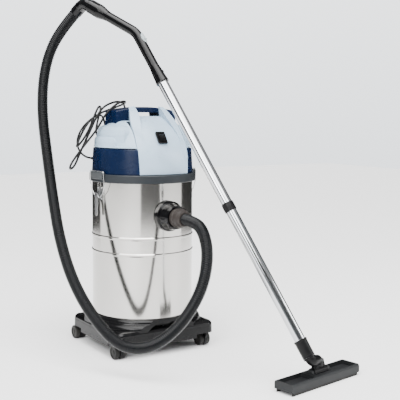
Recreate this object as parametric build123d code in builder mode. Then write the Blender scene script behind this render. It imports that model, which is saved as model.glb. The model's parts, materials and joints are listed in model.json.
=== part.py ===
from build123d import *
import os
from math import asin, cos, degrees, hypot, pi, radians, sin, tan

# Wet and dry shop vacuum, 55 litre class, with its hose, wand and floor tool.
# Origin: on the floor under the drum's axis. +Z is up and the hose inlet faces -Y.

os.makedirs("parts", exist_ok=True)

# ---------------------------------------------------------------- driving sizes, mm
DRUM_R = 185.0
SHEET = 1.2
DRUM_LOW = 130.0
DRUM_TOP = 633.0
BEAD_HEIGHTS = (363.0, 421.0)
BEAD = 2.6
RING_LOW = 618.0
RING_TOP = 647.0
RING_R = 195.0
BODY_TOP = 737.0
BODY_R = 186.0
COWL_LOW = 741.0
DECK = 836.0
HANDLE_TOP = 886.0
WALL = 3.0

INLET_Z = 503.0
CASTOR_X = 176.0
CASTOR_Y = 164.0
WHEEL_R = 25.0
TRAIL = 22.0
SWING_R = 58.0
LATCH_ANGLE = 84.0

HOSE_D = 40.0
LEAD_D = 8.0
GLAND_ANGLE = -150.0
GLAND_Z = 690.0
TUBE_D = 36.0


def save(piece, name):
    """Label a finished piece and write its STEP file."""
    piece.part.label = name
    export_step(piece.part, f"parts/{name}.step")


def side_plane(angle, height=0.0):
    """Plane facing outward from the drum at an angle from the front, its Y axis up."""
    a = radians(angle)
    return Plane(origin=(0, 0, height), x_dir=(cos(a), sin(a), 0), z_dir=(sin(a), -cos(a), 0))


# ---------------------------------------------------------------- drum
def bead_points(r, z, shrink):
    """Points of one rolled bead, from its lower edge to its upper edge."""
    return [(r, z - 6 + shrink), (r + BEAD, z - 2.5), (r + BEAD, z + 2.5), (r, z + 6 - shrink)]


with BuildPart() as drum:
    inner_r = DRUM_R - SHEET
    outer = [(0, DRUM_LOW + 6), (160, DRUM_LOW + 6), (168, DRUM_LOW), (DRUM_R - 3, DRUM_LOW)]
    outer += [(DRUM_R, DRUM_LOW + 3)]
    inner = [(0, DRUM_LOW + 6 + SHEET), (160.5, DRUM_LOW + 6 + SHEET), (168.5, DRUM_LOW + SHEET)]
    inner += [(DRUM_R - 3.5, DRUM_LOW + SHEET), (inner_r, DRUM_LOW + 3.5)]
    for bead_z in BEAD_HEIGHTS:
        outer += bead_points(DRUM_R, bead_z, 0)
        inner += bead_points(inner_r, bead_z, 0.3)
    outer += [(DRUM_R, DRUM_TOP)]
    inner += [(inner_r, DRUM_TOP)]
    with BuildSketch(Plane.XZ):
        with BuildLine():
            Polyline(*outer, *reversed(inner), close=True)
        make_face()
    revolve(axis=Axis.Z)
    with BuildSketch(Plane.XZ.offset(150)):
        with Locations((0, INLET_Z)):
            Circle(29)
    extrude(amount=60, mode=Mode.SUBTRACT)
save(drum, "drum")

# ---------------------------------------------------------------- base tray
TRAY_LOW = 42.0
TRAY_TOP = 100.0
CORNER_R = 26.0
castor_spots = [(x * CASTOR_X, y * CASTOR_Y) for x in (-1, 1) for y in (-1, 1)]

with BuildPart() as base_tray:
    with BuildSketch(Plane.XY.offset(TRAY_LOW)):
        Rectangle(2 * (CASTOR_X + CORNER_R), 2 * (CASTOR_Y + CORNER_R))
        fillet(vertices(), CORNER_R)
    extrude(amount=TRAY_TOP - TRAY_LOW, taper=2)
    fillet(faces().sort_by(Axis.Z)[-1].edges(), 16)
    with BuildSketch(Plane.XY.offset(TRAY_LOW - 1)):
        Rectangle(2 * (CASTOR_X + CORNER_R) - 8, 2 * (CASTOR_Y + CORNER_R) - 8)
        fillet(vertices(), CORNER_R - 4)
    extrude(amount=TRAY_TOP - TRAY_LOW - 18, taper=3, mode=Mode.SUBTRACT)
    # stepped collar that the drum stands in
    with BuildSketch(Plane.XZ):
        with BuildLine():
            Line((150, TRAY_TOP - 5), (150, 126))
            Line((150, 126), (166, 126))
            Line((166, 126), (169, 129.6))
            Line((169, 129.6), (186, 129.6))
            Line((186, 129.6), (186, 134))
            Line((186, 134), (190, 134))
            ThreePointArc((190, 134), (197, 130), (201, 121))
            Line((201, 121), (203, 117))
            ThreePointArc((203, 117), (212, 112), (217, 99))
            Line((217, 99), (217, 92))
            Line((217, 92), (205, 92))
            Line((205, 92), (198, 108))
            Line((198, 108), (193, 119))
            Line((193, 119), (160, 119))
            Line((160, 119), (160, TRAY_TOP - 5))
            Line((160, TRAY_TOP - 5), (150, TRAY_TOP - 5))
        make_face()
    revolve(axis=Axis.Z)
    # the collar stays inside the skirt
    with BuildSketch(Plane.XY.offset(80)):
        Rectangle(600, 600)
        Rectangle(2 * (CASTOR_X + CORNER_R) - 4, 2 * (CASTOR_Y + CORNER_R) - 4, mode=Mode.SUBTRACT)
    extrude(amount=60, mode=Mode.SUBTRACT)
    # castor bosses under the four corners
    with BuildSketch(Plane.XY.offset(58)):
        with Locations(*castor_spots):
            Circle(11)
    extrude(amount=TRAY_TOP - 3 - 58)
    with BuildSketch(Plane.XY.offset(50)):
        with Locations(*castor_spots):
            Circle(5.05)
    extrude(amount=36, mode=Mode.SUBTRACT)
    # the skirt is cut away where the castors swing
    with BuildSketch(Plane.XY.offset(TRAY_LOW - 4)):
        with Locations(*castor_spots):
            Circle(SWING_R)
    extrude(amount=56 - TRAY_LOW + 4, mode=Mode.SUBTRACT)
save(base_tray, "base_tray")

# ---------------------------------------------------------------- castors
CASTOR_NAMES = {(-1, -1): "fl", (1, -1): "fr", (-1, 1): "rl", (1, 1): "rr"}
for (sx, sy), tag in CASTOR_NAMES.items():
    cx = sx * CASTOR_X
    cy = sy * CASTOR_Y
    wy = cy + TRAIL
    with BuildPart() as castor_body:
        with BuildSketch(Plane.XY.offset(51)):
            with Locations((cx, cy)):
                Circle(13)
        extrude(amount=6)
        with BuildSketch(Plane.XY.offset(50)):
            with Locations((cx, cy)):
                Circle(5)
        extrude(amount=34)
        # centre fin and hood between the wheels
        with BuildSketch(Plane.YZ.offset(cx - 4)):
            with Locations((wy, WHEEL_R)):
                Circle(27)
            with BuildLine():
                Polyline((cy - 13, 57), (cy + 8, 57), (wy, WHEEL_R + 20), (wy, WHEEL_R - 10),
                         (cy - 5, 30), (cy - 13, 44), close=True)
            make_face()
            with Locations((wy, -10)):
                Rectangle(80, 30, mode=Mode.SUBTRACT)
        extrude(amount=8)
        with BuildSketch(Plane.YZ.offset(cx - 10)):
            with Locations((wy, WHEEL_R)):
                Circle(4.05)
        extrude(amount=20, mode=Mode.SUBTRACT)
    save(castor_body, f"castor_body_{tag}")
    with BuildPart() as castor_wheels:
        for side in (-1, 1):
            with BuildSketch(Plane.YZ.offset(cx + side * 13.2 - 8.7)):
                with Locations((wy, WHEEL_R)):
                    Circle(WHEEL_R)
            extrude(amount=17.4)
        chamfer(edges().filter_by(GeomType.CIRCLE), 2.4)
        with BuildSketch(Plane.YZ.offset(cx - 22)):
            with Locations((wy, WHEEL_R)):
                Circle(4)
        extrude(amount=44)
        for side in (-1, 1):
            with BuildSketch(Plane.YZ.offset(cx + side * 22)):
                with Locations((wy, WHEEL_R)):
                    Circle(17)
                    Circle(8, mode=Mode.SUBTRACT)
            extrude(amount=-side * 2.2, mode=Mode.SUBTRACT)
    save(castor_wheels, f"castor_wheels_{tag}")

# ---------------------------------------------------------------- head ring and seal
with BuildPart() as rim_ring:
    with BuildSketch(Plane.XZ):
        with BuildLine():
            Polyline((DRUM_R + 0.5, RING_LOW), (RING_R - 2, RING_LOW), (RING_R, RING_LOW + 2),
                     (RING_R, RING_TOP - 3), (RING_R - 3, RING_TOP), (172, RING_TOP), (172, 637),
                     (DRUM_R + 0.5, 637), close=True)
        make_face()
    revolve(axis=Axis.Z)
save(rim_ring, "rim_ring")

with BuildPart() as rim_seal:
    with BuildSketch(Plane.XZ):
        with BuildLine():
            Polyline((178, 633), (DRUM_R, 633), (DRUM_R, 637), (178, 637), close=True)
        make_face()
    revolve(axis=Axis.Z)
save(rim_seal, "rim_seal")

# grey keepers that the two bails hook over
KEEPER_SPAN = 21.0
with BuildPart() as latch_keepers:
    for angle in (-LATCH_ANGLE, LATCH_ANGLE):
        a = radians(angle - 90 - KEEPER_SPAN / 2)
        start = Plane(origin=(0, 0, 0), x_dir=(cos(a), sin(a), 0), z_dir=(sin(a), -cos(a), 0))
        with BuildSketch(start):
            with BuildLine():
                Polyline((RING_R, 627), (202, 630), (204.5, 651), (202, 655), (192, 655),
                         (189, 652), (189, RING_TOP), (RING_R - 3, RING_TOP), (RING_R, RING_TOP - 3),
                         close=True)
            make_face()
        revolve(axis=Axis.Z, revolution_arc=KEEPER_SPAN)
save(latch_keepers, "latch_keepers")

# ---------------------------------------------------------------- toggle latches
PIVOT_H = 577.0
PIVOT_R = 197.0
BAIL_H = 563.0
BAIL_R = 193.0
HOOK_H = 657.6
HOOK_R = 198.6
WIRE_R = 1.6
LEVER_LOW = 496.0

for angle, tag in ((-LATCH_ANGLE, "left"), (LATCH_ANGLE, "right")):
    out = side_plane(angle)
    tangent = out.x_dir
    cross_section = Plane(origin=(0, 0, 0), x_dir=out.z_dir, z_dir=-tangent)
    with BuildPart() as latch_bracket:
        with BuildSketch(out.offset(DRUM_R + 0.4)):
            with Locations((0, 577)):
                RectangleRounded(30, 50, 6)
        extrude(amount=1.6)
        for ear in (-1, 1):
            with BuildSketch(cross_section.offset(ear * 5)):
                with BuildLine():
                    Polyline((DRUM_R + 1, 568), (PIVOT_R, 573.4), (PIVOT_R + 2.6, 577),
                             (PIVOT_R, 580.6), (DRUM_R + 1, 586), close=True)
                make_face()
            extrude(amount=0.9, both=True)
        with BuildSketch(cross_section):
            with Locations((PIVOT_R, PIVOT_H)):
                Circle(2)
        extrude(amount=10.5, both=True)
    save(latch_bracket, f"latch_bracket_{tag}")
    with BuildPart() as latch_lever:
        # face strip, tapered towards the finger end
        with BuildSketch(out.offset(PIVOT_R + 3.6)):
            with BuildLine():
                Polyline((-9.4, 573), (9.4, 573), (9.4, 560), (7.0, LEVER_LOW + 6), (0, LEVER_LOW - 2),
                         (-7.0, LEVER_LOW + 6), (-9.4, 560), close=True)
            make_face()
            fillet(vertices(), 2.5)
        extrude(amount=1.6)
        for cheek in (-1, 1):
            with BuildSketch(cross_section.offset(cheek * 8.4)):
                with BuildLine():
                    Polyline((PIVOT_R + 4.4, 584), (PIVOT_R - 2, 583), (BAIL_R - 4, 570),
                             (BAIL_R - 4, 559), (PIVOT_R, 540), (PIVOT_R + 4.4, 520), close=True)
                make_face()
            extrude(amount=0.8, both=True)
        with BuildSketch(cross_section):
            with Locations((PIVOT_R, PIVOT_H)):
                Circle(2.06)
            with Locations((BAIL_R, BAIL_H)):
                Circle(WIRE_R + 0.06)
        extrude(amount=12, both=True, mode=Mode.SUBTRACT)
    save(latch_lever, f"latch_lever_{tag}")
    lean = degrees(asin((HOOK_R - BAIL_R) / hypot(HOOK_R - BAIL_R, HOOK_H - BAIL_H)))
    rise = hypot(HOOK_R - BAIL_R, HOOK_H - BAIL_H)
    up_lean = out.y_dir * cos(radians(lean)) + out.z_dir * sin(radians(lean))
    bail_origin = out.y_dir * BAIL_H + out.z_dir * BAIL_R
    bail_plane = Plane(origin=bail_origin, x_dir=tangent, z_dir=tangent.cross(up_lean))
    with BuildPart() as latch_bail:
        with BuildLine(bail_plane):
            loop = FilletPolyline((-13, 0), (13, 0), (35, 22), (46, 48), (43, rise), (-43, rise),
                                  (-46, 48), (-35, 22), radius=6, close=True)
        with BuildSketch(Plane(origin=bail_origin, x_dir=up_lean, z_dir=tangent)):
            Circle(WIRE_R)
        sweep(path=loop)
    save(latch_bail, f"latch_bail_{tag}")

# ---------------------------------------------------------------- head: lower body
PANEL_SIDES = [(-97, 640), (97, 640), (101, 745), (97, 800), (90, 890), (-90, 890), (-97, 800),
               (-101, 745)]
with BuildPart() as head_body:
    with BuildSketch(Plane.XZ):
        with BuildLine():
            Polyline((BODY_R - 10, RING_TOP), (BODY_R - 1, RING_TOP), (BODY_R, 650),
                     (181, BODY_TOP - 2), (179, BODY_TOP), (160, BODY_TOP), (160, BODY_TOP - WALL),
                     (178, BODY_TOP - WALL), (BODY_R - WALL, 652), (BODY_R - 10, 650), close=True)
        make_face()
    revolve(axis=Axis.Z)
    # opening behind the front panel
    with BuildSketch(Plane.XZ.offset(120)):
        with BuildLine():
            Polyline((-97.3, 640), (97.3, 640), (101.3, 745), (-101.3, 745), close=True)
        make_face()
    extrude(amount=90, mode=Mode.SUBTRACT)
    # flat pad that carries the lead's gland
    with BuildSketch(side_plane(GLAND_ANGLE, GLAND_Z).offset(BODY_R - 4)):
        Circle(13)
    extrude(amount=7)
    # exhaust louvres round the back
    for row in (676, 700):
        with BuildSketch(Plane.XY.offset(row - 8)):
            with PolarLocations(BODY_R - 2, 13, start_angle=54, angular_range=66):
                Rectangle(14, 5)
        extrude(amount=16, mode=Mode.SUBTRACT)
save(head_body, "head_body")

# ---------------------------------------------------------------- front panel
BULGE_Y = 150.0
PANEL_HALF = 22.0
FACE = [(-174, 649), (-173, 690), (-168, 722), (-152, 760), (-126, 797), (-92, 827), (-62, 845),
        (-36, 853)]
RIB = [(-173, 690), (-168.5, 722), (-157, 752), (-131, 796), (-88, 846), (-56, 876), (-31, 891)]
RIB_BACK = [(-31, DECK), (-60, DECK), (-98, 805), (-130, 765), (-152, 722), (-160, 690)]
a = radians(-PANEL_HALF)
panel_start = Plane(origin=(0, BULGE_Y, 0), x_dir=(sin(a), -cos(a), 0), z_dir=(-cos(a), -sin(a), 0))
PANEL_AXIS = Axis((0, BULGE_Y, 0), (0, 0, 1))


SWITCH_X = -4.0
SWITCH_SLOPE = 35.0
s = radians(SWITCH_SLOPE)
switch_face = Plane(origin=(SWITCH_X, -144.3, 777), x_dir=(1, 0, 0), z_dir=(0, -cos(s), sin(s)))
HANDLE_FRONT = 28.0


def reach(points):
    """Turn (y, z) points into distances from the panel's bulge axis."""
    return [(BULGE_Y - y, z) for y, z in points]


with BuildPart() as panel_ribs:
    with BuildSketch(panel_start):
        with BuildLine():
            crest = Spline(*reach(RIB))
            Polyline(crest @ 1, *reach(RIB_BACK), crest @ 0)
        make_face()
    revolve(axis=PANEL_AXIS, revolution_arc=2 * PANEL_HALF)
    with BuildSketch(Plane.XZ.offset(-60)):
        with BuildLine():
            Polyline(*PANEL_SIDES, close=True)
        make_face()
        with BuildLine():
            arch = Spline((-88, 660), (-84, 720), (-74, 785), (-58, 840), (-52, 900))
            Line(arch @ 1, (52, 900))
            Spline((52, 900), (58, 840), (74, 785), (84, 720), (88, 660))
            Line((88, 660), arch @ 0)
        make_face(mode=Mode.SUBTRACT)
    extrude(amount=260, mode=Mode.INTERSECT)

with BuildPart() as front_panel:
    with BuildSketch(panel_start):
        with BuildLine():
            face = Spline(*reach(FACE))
            under = Spline(*[(BULGE_Y - y - 2.8, z - 1.2) for y, z in reversed(FACE)])
            Line(face @ 1, under @ 0)
            Line(under @ 1, face @ 0)
        make_face()
    revolve(axis=PANEL_AXIS, revolution_arc=2 * PANEL_HALF)
    with BuildSketch(Plane.XZ.offset(-60)):
        with BuildLine():
            Polyline(*PANEL_SIDES, close=True)
        make_face()
    extrude(amount=260, mode=Mode.INTERSECT)
    add(panel_ribs.part)
    # window for the switch, and a straight back against the handle
    with BuildSketch(switch_face.offset(-30)):
        RectangleRounded(28.4, 42.4, 2)
    extrude(amount=60, mode=Mode.SUBTRACT)
    with BuildSketch(Plane.XZ.offset(HANDLE_FRONT + 0.3)):
        with Locations((0, 860)):
            Rectangle(260, 90)
    extrude(amount=-60, mode=Mode.SUBTRACT)
save(front_panel, "front_panel")

# ---------------------------------------------------------------- pale cowl
POD_LOW = 779.0
POD_HIGH = 819.0
with BuildPart() as lower_pods:
    with BuildSketch(Plane.XZ):
        with BuildLine():
            Polyline((120, COWL_LOW), (177, COWL_LOW), (176.5, 762), (174, POD_LOW - 7),
                     (169, POD_LOW), (120, POD_LOW), close=True)
        make_face()
    revolve(axis=Axis.Z)
    with BuildSketch(Plane.YZ.offset(-200)):
        with Locations((0, COWL_LOW - 10)):
            RectangleRounded(164, 2 * (POD_LOW - COWL_LOW + 10), 26)
    extrude(amount=400, mode=Mode.INTERSECT)

with BuildPart() as upper_pods:
    with BuildSketch(Plane.XZ):
        with BuildLine():
            Polyline((90, COWL_LOW), (168, COWL_LOW), (167, 787), (163, 803), (154, 814), (143, POD_HIGH),
                     (90, POD_HIGH), close=True)
        make_face()
    revolve(axis=Axis.Z)
    with BuildSketch(Plane.YZ.offset(-200)):
        with Locations((0, COWL_LOW - 10)):
            RectangleRounded(210, 2 * (POD_HIGH - COWL_LOW + 10), 34)
    extrude(amount=400, mode=Mode.INTERSECT)

with BuildPart() as cowl_form:
    with BuildSketch(Plane.XZ):
        with BuildLine():
            Line((0, COWL_LOW), (178, COWL_LOW))
            Line((178, COWL_LOW), (178, 745))
            Line((178, 745), (171, 748))
            ThreePointArc((171, 748), (156, 786), (134, 818))
            ThreePointArc((134, 818), (118.5, 831.3), (100, DECK))
            Line((100, DECK), (0, DECK))
            Line((0, DECK), (0, COWL_LOW))
        make_face()
    revolve(axis=Axis.Z)
    add(lower_pods.part)
    add(upper_pods.part)

with BuildPart() as cowl:
    add(cowl_form.part)
    # hollow inside
    with BuildSketch(Plane.XZ):
        with BuildLine():
            Polyline((0, COWL_LOW), (168, COWL_LOW), (160, 770), (146, 797), (128, 820), (100, DECK - WALL),
                     (0, DECK - WALL), close=True)
        make_face()
    revolve(axis=Axis.Z, mode=Mode.SUBTRACT)
    # room for the front panel and its ribs
    with BuildSketch(Plane.YZ.offset(-101.5)):
        with BuildLine():
            Polyline((-28.2, 900), (-28.2, DECK - 0.2), (-43, DECK - 0.2), (-81, 804.6),
                     (-112, 765), (-134, 722), (-220, 722), (-220, 900), close=True)
        make_face()
    extrude(amount=203, mode=Mode.SUBTRACT)
    # cooling slots in the back
    for slot_z in (765, 777, 789):
        with BuildSketch(Plane.XZ.offset(-100)):
            with Locations((0, slot_z)):
                SlotOverall(110, 5)
        extrude(amount=-90, mode=Mode.SUBTRACT)
save(cowl, "head_cowl")

# ---------------------------------------------------------------- carry handle
HANDLE_HALF = 125.0
GRIP_HALF = 62.0
GRIP_UNDER = 866.0
FOOT_LOW = 812.0
with BuildPart() as carry_handle:
    with BuildSketch(Plane.XZ.offset(-56)):
        with BuildLine():
            Line((-HANDLE_HALF, FOOT_LOW), (-HANDLE_HALF + 2, 872))
            ThreePointArc((-HANDLE_HALF + 2, 872), (0, HANDLE_TOP), (HANDLE_HALF - 2, 872))
            Polyline((HANDLE_HALF - 2, 872), (HANDLE_HALF, FOOT_LOW), (GRIP_HALF, FOOT_LOW),
                     (GRIP_HALF, DECK), (GRIP_HALF - 4, GRIP_UNDER), (-GRIP_HALF + 4, GRIP_UNDER),
                     (-GRIP_HALF, DECK), (-GRIP_HALF, FOOT_LOW), (-HANDLE_HALF, FOOT_LOW))
        make_face()
    extrude(amount=56 + HANDLE_FRONT)
    top_edges = edges().filter_by(GeomType.CIRCLE)
    fillet(top_edges, 7)
    # the feet sit down on the cowl's curve
    add(cowl_form.part, mode=Mode.SUBTRACT)
save(carry_handle, "carry_handle")

# ---------------------------------------------------------------- rocker switch
with BuildPart() as switch_bezel:
    with BuildSketch(switch_face):
        RectangleRounded(38, 50, 5)
    extrude(amount=4)
    chamfer(faces().sort_by(Axis((0, 0, 0), (0, -cos(s), sin(s))))[-1].edges(), 1)
    with BuildSketch(switch_face.offset(-22)):
        RectangleRounded(28, 42, 2)
    extrude(amount=22)
    with BuildSketch(switch_face.offset(-14)):
        Rectangle(24, 37)
    extrude(amount=30, mode=Mode.SUBTRACT)
save(switch_bezel, "switch_bezel")

rocker_side = Plane(origin=switch_face.origin, x_dir=switch_face.y_dir, z_dir=(-1, 0, 0))
with BuildPart() as switch_rocker:
    with BuildSketch(rocker_side.offset(-11.6)):
        with BuildLine():
            Polyline((-16, 3.0), (-16, -4), (-6, -11), (6, -11), (16, -4), (16, 6.8), close=True)
        make_face()
    extrude(amount=23.2)
    fillet(edges().filter_by(Axis.X).sort_by(Axis((0, 0, 0), (0, -cos(s), sin(s))))[-2:], 1.2)
save(switch_rocker, "switch_rocker")

# ---------------------------------------------------------------- motor and fans
PLATE_LOW = 641.0
PLATE_TOP = 645.0
SHAFT_R = 4.0


def ring_solid(outer_r, inner_r, low, high):
    """Sketch and extrude one ring into the open part."""
    with BuildSketch(Plane.XY.offset(low)) as ring:
        Circle(outer_r)
        if inner_r > 0:
            Circle(inner_r, mode=Mode.SUBTRACT)
    extrude(ring.sketch, amount=high - low)


with BuildPart() as motor_plate:
    ring_solid(171.8, 28, PLATE_LOW, PLATE_TOP)
    with BuildSketch(Plane.XY.offset(PLATE_LOW)):
        with PolarLocations(130, 8):
            Circle(12)
    extrude(amount=PLATE_TOP - PLATE_LOW, mode=Mode.SUBTRACT)
save(motor_plate, "motor_plate")

with BuildPart() as fan_shroud:
    with BuildSketch(Plane.XZ):
        with BuildLine():
            Polyline((28, PLATE_TOP), (72, PLATE_TOP), (72, 702), (12, 702), (12, 700.4),
                     (70.4, 700.4), (70.4, PLATE_TOP + 1.6), (28, PLATE_TOP + 1.6), close=True)
        make_face()
    revolve(axis=Axis.Z)
    with BuildSketch(Plane.XY.offset(688)):
        with PolarLocations(71, 12):
            Rectangle(8, 18)
    extrude(amount=9, mode=Mode.SUBTRACT)
save(fan_shroud, "fan_shroud")

with BuildPart() as fan_impellers:
    for low in (652, 676):
        ring_solid(65, SHAFT_R, low, low + 1.5)
        ring_solid(65, 24, low + 12, low + 13.5)
        ring_solid(9, SHAFT_R, low, low + 13.5)
        with BuildSketch(Plane.XY.offset(low + 1.5)):
            with PolarLocations(44, 9):
                Rectangle(40, 1.6, rotation=38)
        extrude(amount=10.5)
save(fan_impellers, "fan_impellers")

with BuildPart() as motor_armature:
    ring_solid(SHAFT_R, 0, 650, 812)
    ring_solid(27, SHAFT_R - 0.5, 724, 766)
    with BuildSketch(Plane.XY.offset(723)):
        with PolarLocations(27, 12):
            Rectangle(7, 2)
    extrude(amount=44, mode=Mode.SUBTRACT)
    ring_solid(13, SHAFT_R - 0.5, 771, 785)
save(motor_armature, "motor_armature")

with BuildPart() as motor_stator:
    ring_solid(48, 38, 724, 766)
    with BuildSketch(Plane.XY.offset(724)):
        with Locations((0, 33), (0, -33)):
            Rectangle(34, 14)
        Circle(27.6, mode=Mode.SUBTRACT)
    extrude(amount=42)
save(motor_stator, "motor_stator")

with BuildPart() as motor_frame:
    with BuildSketch(Plane.XZ):
        with BuildLine():
            Polyline((48, 702), (51, 702), (51, 798), (11, 798), (11, 789), (14, 789), (14, 795),
                     (48, 795), close=True)
        make_face()
    revolve(axis=Axis.Z)
    with BuildSketch(Plane.XY.offset(708)):
        with PolarLocations(50, 6):
            Rectangle(8, 16)
    extrude(amount=12, mode=Mode.SUBTRACT)
save(motor_frame, "motor_frame")

with BuildPart() as motor_bearings:
    ring_solid(11, SHAFT_R + 0.04, 789, 796)
    ring_solid(12, SHAFT_R + 0.04, 700.4, 707)
save(motor_bearings, "motor_bearings")

with BuildPart() as carbon_brushes:
    for side in (-1, 1):
        with BuildSketch(Plane.XY.offset(774)):
            with Locations((side * 30.5, 0)):
                Rectangle(34, 8)
        extrude(amount=8)
save(carbon_brushes, "carbon_brushes")

with BuildPart() as cooling_fan:
    ring_solid(8, SHAFT_R, 801, 810)
    ring_solid(38, SHAFT_R, 801, 802.5)
    with BuildSketch(Plane.XY.offset(802.5)):
        with PolarLocations(23, 8):
            Rectangle(29, 1.6, rotation=20)
    extrude(amount=7.5)
save(cooling_fan, "cooling_fan")

with BuildPart() as exhaust_foam:
    ring_solid(104, 73, PLATE_TOP, 694)
save(exhaust_foam, "exhaust_foam")

# ---------------------------------------------------------------- filter and float
PLEATS = 36
with BuildPart() as filter_cartridge:
    ring_solid(84, 66, 532, PLATE_LOW)
    with BuildSketch(Plane.XY.offset(538)):
        with PolarLocations(84, PLEATS):
            Rectangle(16, 4)
    extrude(amount=96, mode=Mode.SUBTRACT)
save(filter_cartridge, "filter_cartridge")

with BuildPart() as filter_cap:
    ring_solid(88, 0, 526, 532)
    ring_solid(14, 0, 520, 526)
save(filter_cap, "filter_cap")

with BuildPart() as float_cage:
    with BuildSketch(Plane.XZ):
        with BuildLine():
            Polyline((0, 560), (36, 560), (36, PLATE_LOW), (30, PLATE_LOW), (30, 636), (33.4, 636),
                     (33.4, 563), (0, 563), close=True)
        make_face()
    revolve(axis=Axis.Z)
    with BuildSketch(Plane.XY.offset(570)):
        with PolarLocations(35, 8):
            Rectangle(10, 12)
    extrude(amount=56, mode=Mode.SUBTRACT)
save(float_cage, "float_cage")

FLOAT_R = 31.0
with BuildPart() as float_ball:
    ring_solid(FLOAT_R, 0, 563.4, 590)
    fillet(edges(), 8)
save(float_ball, "float_ball")

# ---------------------------------------------------------------- hose inlet
INLET_AXIS = Axis((0, 0, INLET_Z), (0, 1, 0))


def inlet_revolve(profile):
    """Revolve (y, radius) points about the inlet's axis into the open part."""
    with BuildSketch(Plane.YZ) as section:
        with BuildLine():
            Polyline(*[(y, INLET_Z + r) for y, r in profile], close=True)
        make_face()
    revolve(section.sketch, axis=INLET_AXIS)


SADDLE_R = DRUM_R + 2.0
with BuildPart() as inlet_flange:
    inlet_revolve([(-150, 54), (-202, 54), (-206, 52), (-208, 48.5), (-216, 47.5), (-236, 43),
                   (-246, 41.5), (-250, 39.5), (-250, 33.6), (-236, 33.6), (-236, 28.6), (-150, 28.6)])
    with BuildSketch(Plane.XY.offset(400)):
        Circle(SADDLE_R)
    extrude(amount=200, mode=Mode.SUBTRACT)
save(inlet_flange, "inlet_flange")

with BuildPart() as inlet_gasket:
    with BuildSketch(Plane.XZ.offset(150)):
        with Locations((0, INLET_Z)):
            Circle(53)
            Circle(29, mode=Mode.SUBTRACT)
    extrude(amount=60)
    with BuildSketch(Plane.XY.offset(400)):
        Circle(SADDLE_R)
        Circle(DRUM_R, mode=Mode.SUBTRACT)
    extrude(amount=200, mode=Mode.INTERSECT)
save(inlet_gasket, "inlet_gasket")

with BuildPart() as inlet_deflector:
    inlet_revolve([(-148, 28.6), (-235.8, 28.6), (-235.8, 26.2), (-148, 26.2)])
    inlet_revolve([(-160, 34), (-157, 34), (-157, 28.6), (-160, 28.6)])
    with BuildSketch(Plane.XZ.offset(110)):
        with Locations((12, INLET_Z)):
            RectangleRounded(76, 66, 20)
    extrude(amount=2.5)
    with BuildSketch(Plane.XZ.offset(112)):
        with Locations((26, INLET_Z + 24), (26, INLET_Z - 24)):
            Rectangle(6, 8)
    extrude(amount=46)
save(inlet_deflector, "inlet_deflector")

CUFF_MOUTH = -302.0
HOSE_START = -285.0
with BuildPart() as hose_cuff_drum:
    inlet_revolve([(-236.2, 33.4), (-264, 33.4), (-265, 34.8), (-270, 34.8), (-271, 33), (-286, 30),
                   (-293, 26.5), (CUFF_MOUTH, 25), (CUFF_MOUTH, HOSE_D / 2 + 0.4),
                   (HOSE_START, HOSE_D / 2 + 0.4), (HOSE_START, 16.5), (-236.2, 16.5)])
save(hose_cuff_drum, "hose_cuff_drum")

# ---------------------------------------------------------------- wand
WAND_LOW = Vector(183, -704, 150)
WAND_HIGH = Vector(-53, -238, 967)
wand_dir = (WAND_HIGH - WAND_LOW).normalized()
wand_length = (WAND_HIGH - WAND_LOW).length
heading = Vector(wand_dir.X, wand_dir.Y, 0).normalized()
TUBE_R = TUBE_D / 2
TUBE_WALL = 1.2
COLLAR_AT = 486.0
SOCKET_DEPTH = 44.0
GRIP_R = 17.0
wand_side = heading.cross(Vector(0, 0, 1))


def wand_plane(s):
    """Plane square to the wand, s above the lower socket's mouth."""
    return Plane(origin=WAND_LOW + wand_dir * s, x_dir=wand_side, z_dir=wand_dir)


wand_section = Plane(origin=WAND_LOW, x_dir=wand_side, z_dir=wand_side.cross(wand_dir))
WAND_AXIS = Axis(WAND_LOW, wand_dir)


def wand_revolve(profile):
    """Revolve (radius, height along the wand) points about the wand into the open part."""
    with BuildSketch(wand_section) as section:
        with BuildLine():
            Polyline(*profile, close=True)
        make_face()
    revolve(section.sketch, axis=WAND_AXIS)


bore_r = TUBE_R - TUBE_WALL
with BuildPart() as lower_tube:
    wand_revolve([(TUBE_R, -SOCKET_DEPTH), (TUBE_R, COLLAR_AT - 2), (bore_r, COLLAR_AT + 2),
                  (bore_r, COLLAR_AT + 38), (bore_r - TUBE_WALL, COLLAR_AT + 38),
                  (bore_r - TUBE_WALL, COLLAR_AT), (bore_r, COLLAR_AT - 6), (bore_r, -SOCKET_DEPTH)])
save(lower_tube, "lower_tube")
with BuildPart() as upper_tube:
    wand_revolve([(TUBE_R, COLLAR_AT + 2), (TUBE_R, wand_length + SOCKET_DEPTH),
                  (bore_r, wand_length + SOCKET_DEPTH), (bore_r, COLLAR_AT + 2)])
save(upper_tube, "upper_tube")
with BuildPart() as tube_collar:
    wand_revolve([(TUBE_R, COLLAR_AT - 16), (TUBE_R + 2.4, COLLAR_AT - 14.5), (TUBE_R + 2.8, COLLAR_AT),
                  (TUBE_R + 2.4, COLLAR_AT + 14.5), (TUBE_R, COLLAR_AT + 16)])
save(tube_collar, "tube_collar")

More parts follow.
